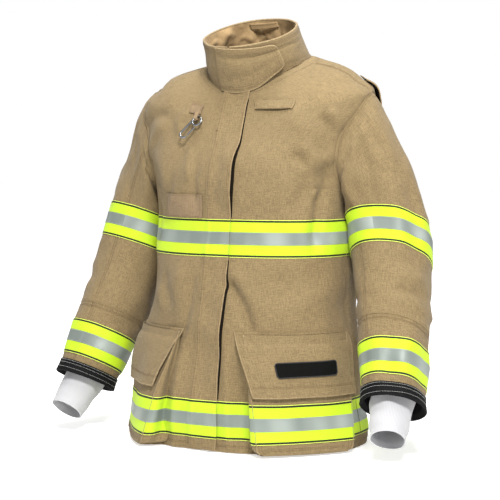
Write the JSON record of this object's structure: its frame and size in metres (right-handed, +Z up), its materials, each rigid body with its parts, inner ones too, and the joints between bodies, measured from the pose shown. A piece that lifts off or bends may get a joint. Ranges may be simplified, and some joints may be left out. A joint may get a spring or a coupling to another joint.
{
  "type": "turnout coat",
  "caption": "Hip-length firefighter's coat with raised collar, storm flap over a zip, reflective trim, bellows pockets and knitted wristlets.",
  "frame": {"origin": "middle of the coat's box at the level of the hem", "axes": "+Z up towards the collar, -Y out of the front, +X towards the wearer's left"},
  "size_m": [0.8478, 0.3925, 0.8813],
  "materials": {
    "shell_fabric": "plain woven ripstop duck",
    "lining_fabric": "quilted facecloth",
    "membrane": "laminated felt",
    "trim": "fluorescent and retroreflective trim tape",
    "patch_fabric": "woven tab",
    "black_fabric": "coated black reinforcement",
    "label": "plain embroidered patch",
    "knit": "fine rib knit",
    "hook_and_loop": "hook and loop tape",
    "zip_tape": "woven zip tape",
    "brass": "satin brass",
    "steel": "nickel plated"
  },
  "bodies": {
    "body": {"left_front_shell": "shell_fabric", "right_front_shell": "shell_fabric", "back_shell": "shell_fabric", "moisture_barrier": "membrane", "thermal_liner": "lining_fabric", "collar_shell": "shell_fabric", "collar_lining": "shell_fabric", "hanger_loop": "shell_fabric", "chest_trim_left": "trim", "chest_trim_right": "trim", "chest_trim_back": "trim", "hem_trim_left": "trim", "hem_trim_right": "trim", "hem_trim_back": "trim", "flap_loop_tape": "hook_and_loop", "storm_flap_top": "shell_fabric", "zip_tapes": "zip_tape", "zip_teeth_left": "brass", "zip_teeth_right": "brass", "mic_tab": "shell_fabric", "chest_patch": "patch_fabric", "hook_strap": "patch_fabric", "left_back_pleat": "shell_fabric", "right_back_pleat": "shell_fabric", "left_pocket": "shell_fabric", "right_pocket": "shell_fabric", "left_pocket_trim": "trim", "right_pocket_trim": "trim"},
    "storm_flap": {"storm_flap": "shell_fabric", "flap_chest_trim": "trim", "flap_hem_trim": "trim", "flap_hook_tape": "hook_and_loop"},
    "throat_tab": {"throat_tab": "shell_fabric"},
    "zip_slider": {"zip_slider": "brass"},
    "snap_hook": {"snap_hook": "steel"},
    "hook_gate": {"hook_gate": "steel"},
    "left_pocket_flap": {"left_pocket_flap": "shell_fabric", "label_patch": "label"},
    "right_pocket_flap": {"right_pocket_flap": "shell_fabric"},
    "left_arm": {"left_upper_sleeve": "shell_fabric", "left_sleeve_lining": "lining_fabric", "left_upper_trim": "trim", "left_elbow": "shell_fabric"},
    "left_forearm": {"left_forearm": "shell_fabric", "left_forearm_trim": "trim", "left_cuff": "black_fabric", "left_cuff_lining": "black_fabric", "left_wristlet": "knit"},
    "right_arm": {"right_upper_sleeve": "shell_fabric", "right_sleeve_lining": "lining_fabric", "right_upper_trim": "trim", "right_elbow": "shell_fabric"},
    "right_forearm": {"right_forearm": "shell_fabric", "right_forearm_trim": "trim", "right_cuff": "black_fabric", "right_cuff_lining": "black_fabric", "right_wristlet": "knit"}
  },
  "joints": [
    {"name": "storm_flap_hinge", "type": "hinge", "parent": "body", "child": "storm_flap", "pos_m": [-0.04, -0.175, 0], "axis": [0, -0.1155, -0.9933], "range_deg": [0, 98]},
    {"name": "throat_tab_hinge", "type": "hinge", "parent": "body", "child": "throat_tab", "pos_m": [-0.03332, -0.04551, 0.75322], "axis": [-0.0624, 0.293, -0.9541], "range_deg": [0, 100]},
    {"name": "zip_slide", "type": "slide", "parent": "body", "child": "zip_slider", "axis": [0, -0.1328, -0.9911], "range_m": [0, 0.53]},
    {"name": "hook_swing", "type": "hinge", "parent": "body", "child": "snap_hook", "pos_m": [-0.07174, -0.07213, 0.66579], "axis": [-0.7943, 0.3183, 0.5174], "range_deg": [0, 60]},
    {"name": "hook_gate_hinge", "type": "hinge", "parent": "snap_hook", "child": "hook_gate", "pos_m": [-0.07657, -0.08106, 0.64879], "axis": [0.0433, 0.8793, -0.4744], "range_deg": [0, 25], "stiffness_Nm_per_rad": 0.02, "springref_deg": -5.73},
    {"name": "left_flap_hinge", "type": "hinge", "parent": "body", "child": "left_pocket_flap", "pos_m": [0.18098, -0.10344, 0.24], "axis": [-0.6947, -0.7193, 0], "range_deg": [0, 60], "deforming": ["left_pocket_flap", "label_patch"]},
    {"name": "right_flap_hinge", "type": "hinge", "parent": "body", "child": "right_pocket_flap", "pos_m": [-0.18098, -0.10344, 0.24], "axis": [-0.6947, 0.7193, 0], "range_deg": [0, 60], "deforming": ["right_pocket_flap"]},
    {"name": "left_sleeve_swing", "type": "hinge", "parent": "body", "child": "left_arm", "pos_m": [0.24, 0.0506, 0.622], "axis": [-0.9705, 0, 0.2411], "range_deg": [-20, 50]},
    {"name": "left_elbow_bend", "type": "hinge", "parent": "left_arm", "child": "left_forearm", "pos_m": [0.322, 0.0286, 0.303], "axis": [-1, 0, 0], "range_deg": [0, 60], "deforming": ["left_elbow"]},
    {"name": "right_sleeve_swing", "type": "hinge", "parent": "body", "child": "right_arm", "pos_m": [-0.24, 0.0506, 0.622], "axis": [-0.9705, 0, -0.2411], "range_deg": [-20, 50]},
    {"name": "right_elbow_bend", "type": "hinge", "parent": "right_arm", "child": "right_forearm", "pos_m": [-0.322, 0.0286, 0.303], "axis": [-1, 0, 0], "range_deg": [0, 60], "deforming": ["right_elbow"]}
  ]
}
